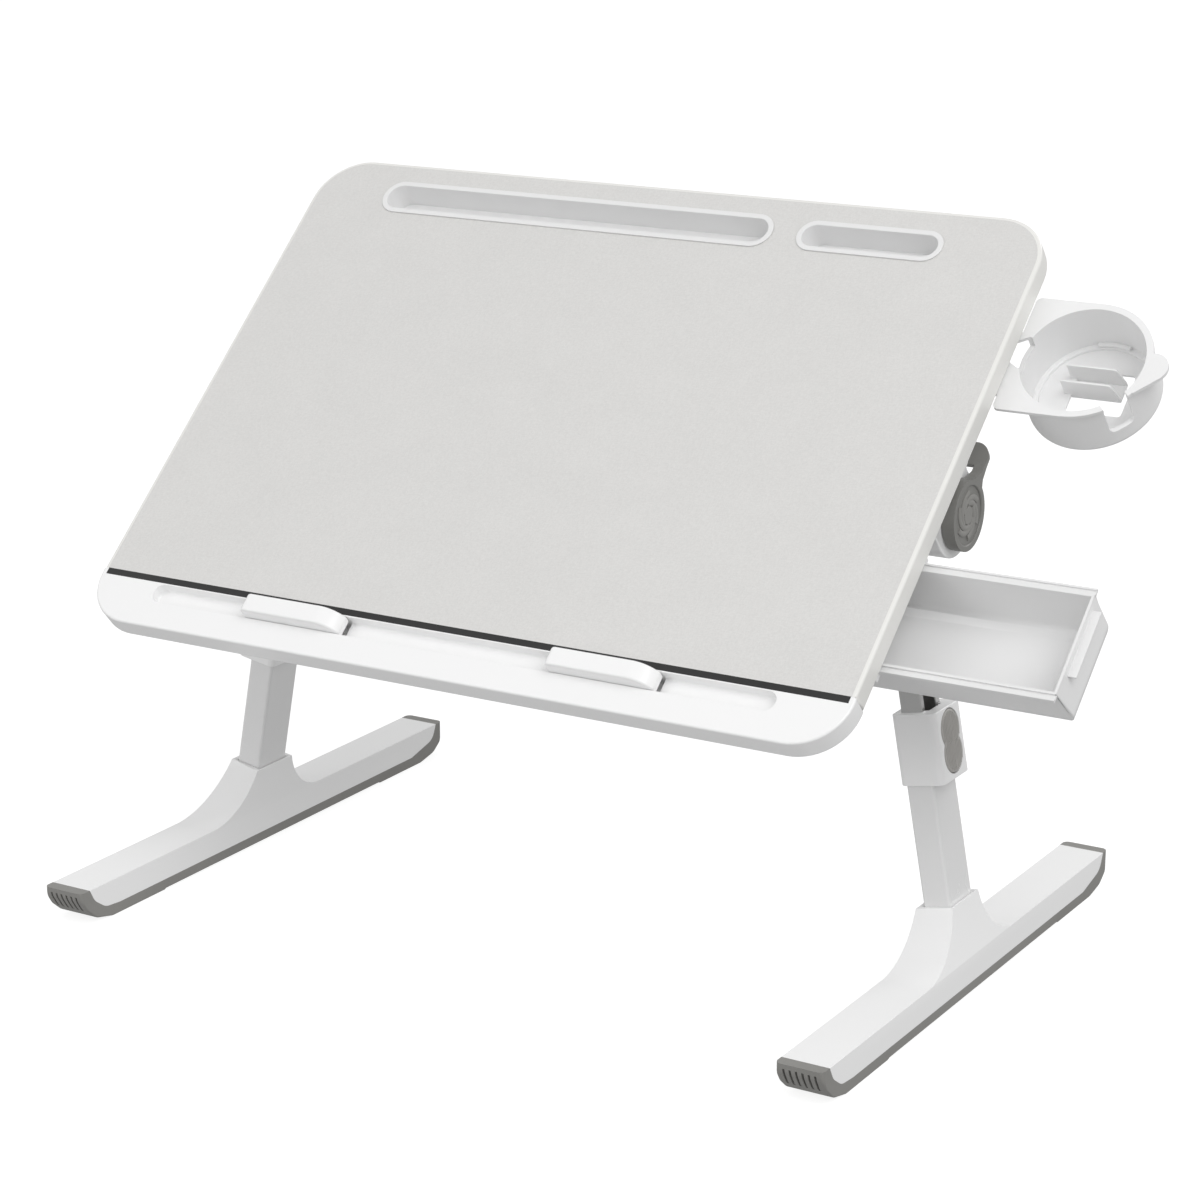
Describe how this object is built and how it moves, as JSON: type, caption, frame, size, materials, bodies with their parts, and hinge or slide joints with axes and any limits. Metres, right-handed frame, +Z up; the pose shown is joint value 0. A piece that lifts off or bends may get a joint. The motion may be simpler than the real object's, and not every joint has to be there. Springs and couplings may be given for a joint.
{
  "type": "folding lap desk",
  "caption": "Folding lap desk with a tilting top, pen groove, pop up stoppers, pen trays, a side drawer, a pull out cup holder and telescopic legs on long feet.",
  "frame": {"origin": "centre of the bounding box on the floor, with the drawer and the cup holder pulled out as in the picture", "axes": "+X to the user's right, along the top's width; +Y away from the user, along the feet; +Z up"},
  "size_m": [0.7382, 0.4664, 0.5119],
  "materials": {
    "board_laminate": "fine woven light grey laminate",
    "band_cream": "smooth",
    "white_moulding": "satin moulded",
    "black_rubber": "matt",
    "grey_rubber": "matt",
    "grey_moulding": "matt moulded",
    "white_tube": "powder coated",
    "bare_tube": "satin anodised",
    "steel": "zinc plated"
  },
  "bodies": {
    "tabletop": {"desk_board": "board_laminate", "edge_band": "band_cream", "front_rail": "white_moulding", "grip_strip": "black_rubber", "pen_tray_long": "white_moulding", "pen_tray_short": "white_moulding", "tray_cover_long": "white_moulding", "tray_cover_short": "white_moulding", "rail_screws": "steel", "cover_screws": "steel", "bracket_screws": "steel", "guide_screws": "steel", "runner_front": "white_moulding", "runner_rear": "white_moulding", "cup_guide": "white_moulding", "bracket_right": "white_moulding", "bracket_left": "white_moulding", "clutch_cover_right": "white_moulding", "clutch_cover_left": "white_moulding"},
    "clutch_right": {"clutch_ring_right": "grey_moulding"},
    "drum_right": {"hinge_drum_right": "white_moulding", "fold_bolt_right": "steel"},
    "leg_right": {"knuckle_right": "white_moulding", "inner_tube_right": "bare_tube"},
    "core_right": {"height_core_right": "grey_moulding"},
    "foot_right": {"sleeve_right": "white_moulding", "outer_tube_right": "white_tube", "foot_shell_right": "white_moulding", "foot_sole_right": "grey_rubber", "leaf_spring_right": "steel"},
    "button_right": {"button_right": "grey_moulding", "lock_shoe_right": "grey_moulding"},
    "lever_right": {"cam_lever_right": "grey_moulding", "clamp_pin_right": "steel"},
    "clutch_left": {"clutch_ring_left": "grey_moulding"},
    "drum_left": {"hinge_drum_left": "white_moulding", "fold_bolt_left": "steel"},
    "leg_left": {"knuckle_left": "white_moulding", "inner_tube_left": "bare_tube"},
    "core_left": {"height_core_left": "grey_moulding"},
    "foot_left": {"sleeve_left": "white_moulding", "outer_tube_left": "white_tube", "foot_shell_left": "white_moulding", "foot_sole_left": "grey_rubber", "leaf_spring_left": "steel"},
    "button_left": {"button_left": "grey_moulding", "lock_shoe_left": "grey_moulding"},
    "lever_left": {"cam_lever_left": "grey_moulding", "clamp_pin_left": "steel"},
    "drawer": {"drawer": "white_moulding"},
    "cup_holder": {"cup_holder": "white_moulding"},
    "stopper_left": {"stopper_left": "white_moulding"},
    "stopper_right": {"stopper_right": "white_moulding"}
  },
  "joints": [
    {"name": "tilt_right", "type": "hinge", "parent": "tabletop", "child": "clutch_right", "pos_m": [0.18798, -0.00135, 0.33369], "axis": [-1, 0, 0], "range_deg": [-41.45, 0]},
    {"name": "tilt_return_right", "type": "hinge", "parent": "clutch_right", "child": "drum_right", "pos_m": [0.18798, -0.00135, 0.33369], "axis": [1, 0, 0], "range_deg": [0, 41.55]},
    {"name": "fold_right", "type": "hinge", "parent": "drum_right", "child": "leg_right", "pos_m": [0.18798, -0.00135, 0.33369], "axis": [0, 1, 0], "range_deg": [0, 99.4]},
    {"name": "slide_return_right", "type": "slide", "parent": "leg_right", "child": "core_right", "axis": [-0.1809, 0, 0.9835], "range_m": [0, 0.1016]},
    {"name": "height_right", "type": "slide", "parent": "core_right", "child": "foot_right", "axis": [0.1809, 0, -0.9835], "range_m": [-0.1015, 0]},
    {"name": "button_right_press", "type": "hinge", "parent": "foot_right", "child": "button_right", "pos_m": [0.2318, -0.00135, 0.175], "axis": [0, 1, 0], "range_deg": [0, 5], "stiffness_Nm_per_rad": 0.6},
    {"name": "lever_right_swing", "type": "hinge", "parent": "tabletop", "child": "lever_right", "pos_m": [0.18798, -0.00135, 0.33369], "axis": [-1, 0, 0], "range_deg": [0, 95]},
    {"name": "tilt_left", "type": "hinge", "parent": "tabletop", "child": "clutch_left", "pos_m": [-0.29583, -0.00135, 0.33369], "axis": [-1, 0, 0], "range_deg": [-41.45, 0]},
    {"name": "tilt_return_left", "type": "hinge", "parent": "clutch_left", "child": "drum_left", "pos_m": [-0.29583, -0.00135, 0.33369], "axis": [1, 0, 0], "range_deg": [0, 41.55]},
    {"name": "fold_left", "type": "hinge", "parent": "drum_left", "child": "leg_left", "pos_m": [-0.29583, -0.00135, 0.33369], "axis": [0, -1, 0], "range_deg": [0, 99.4]},
    {"name": "slide_return_left", "type": "slide", "parent": "leg_left", "child": "core_left", "axis": [0.1809, 0, 0.9835], "range_m": [0, 0.1016]},
    {"name": "height_left", "type": "slide", "parent": "core_left", "child": "foot_left", "axis": [-0.1809, 0, -0.9835], "range_m": [-0.1015, 0]},
    {"name": "button_left_press", "type": "hinge", "parent": "foot_left", "child": "button_left", "pos_m": [-0.33965, -0.00135, 0.175], "axis": [0, -1, 0], "range_deg": [0, 5], "stiffness_Nm_per_rad": 0.6},
    {"name": "lever_left_swing", "type": "hinge", "parent": "tabletop", "child": "lever_left", "pos_m": [-0.29583, -0.00135, 0.33369], "axis": [-1, 0, 0], "range_deg": [0, 95]},
    {"name": "drawer_slide", "type": "slide", "parent": "tabletop", "child": "drawer", "axis": [1, 0, 0], "range_m": [-0.1225, 0]},
    {"name": "cup_holder_slide", "type": "slide", "parent": "tabletop", "child": "cup_holder", "axis": [1, 0, 0], "range_m": [-0.107, 0]},
    {"name": "stopper_left_rise", "type": "slide", "parent": "tabletop", "child": "stopper_left", "axis": [0, -0.662, 0.7495], "range_m": [-0.01, 0]},
    {"name": "stopper_right_rise", "type": "slide", "parent": "tabletop", "child": "stopper_right", "axis": [0, -0.662, 0.7495], "range_m": [-0.01, 0]}
  ],
  "couplings": [
    {"joint": "tilt_left", "follows": "tilt_right", "ratio": 1},
    {"joint": "tilt_return_right", "follows": "fold_right", "ratio": 0.417},
    {"joint": "slide_return_right", "follows": "fold_right", "m_per_rad": 0.058506},
    {"joint": "tilt_return_left", "follows": "fold_left", "ratio": 0.417},
    {"joint": "slide_return_left", "follows": "fold_left", "m_per_rad": 0.058506}
  ]
}
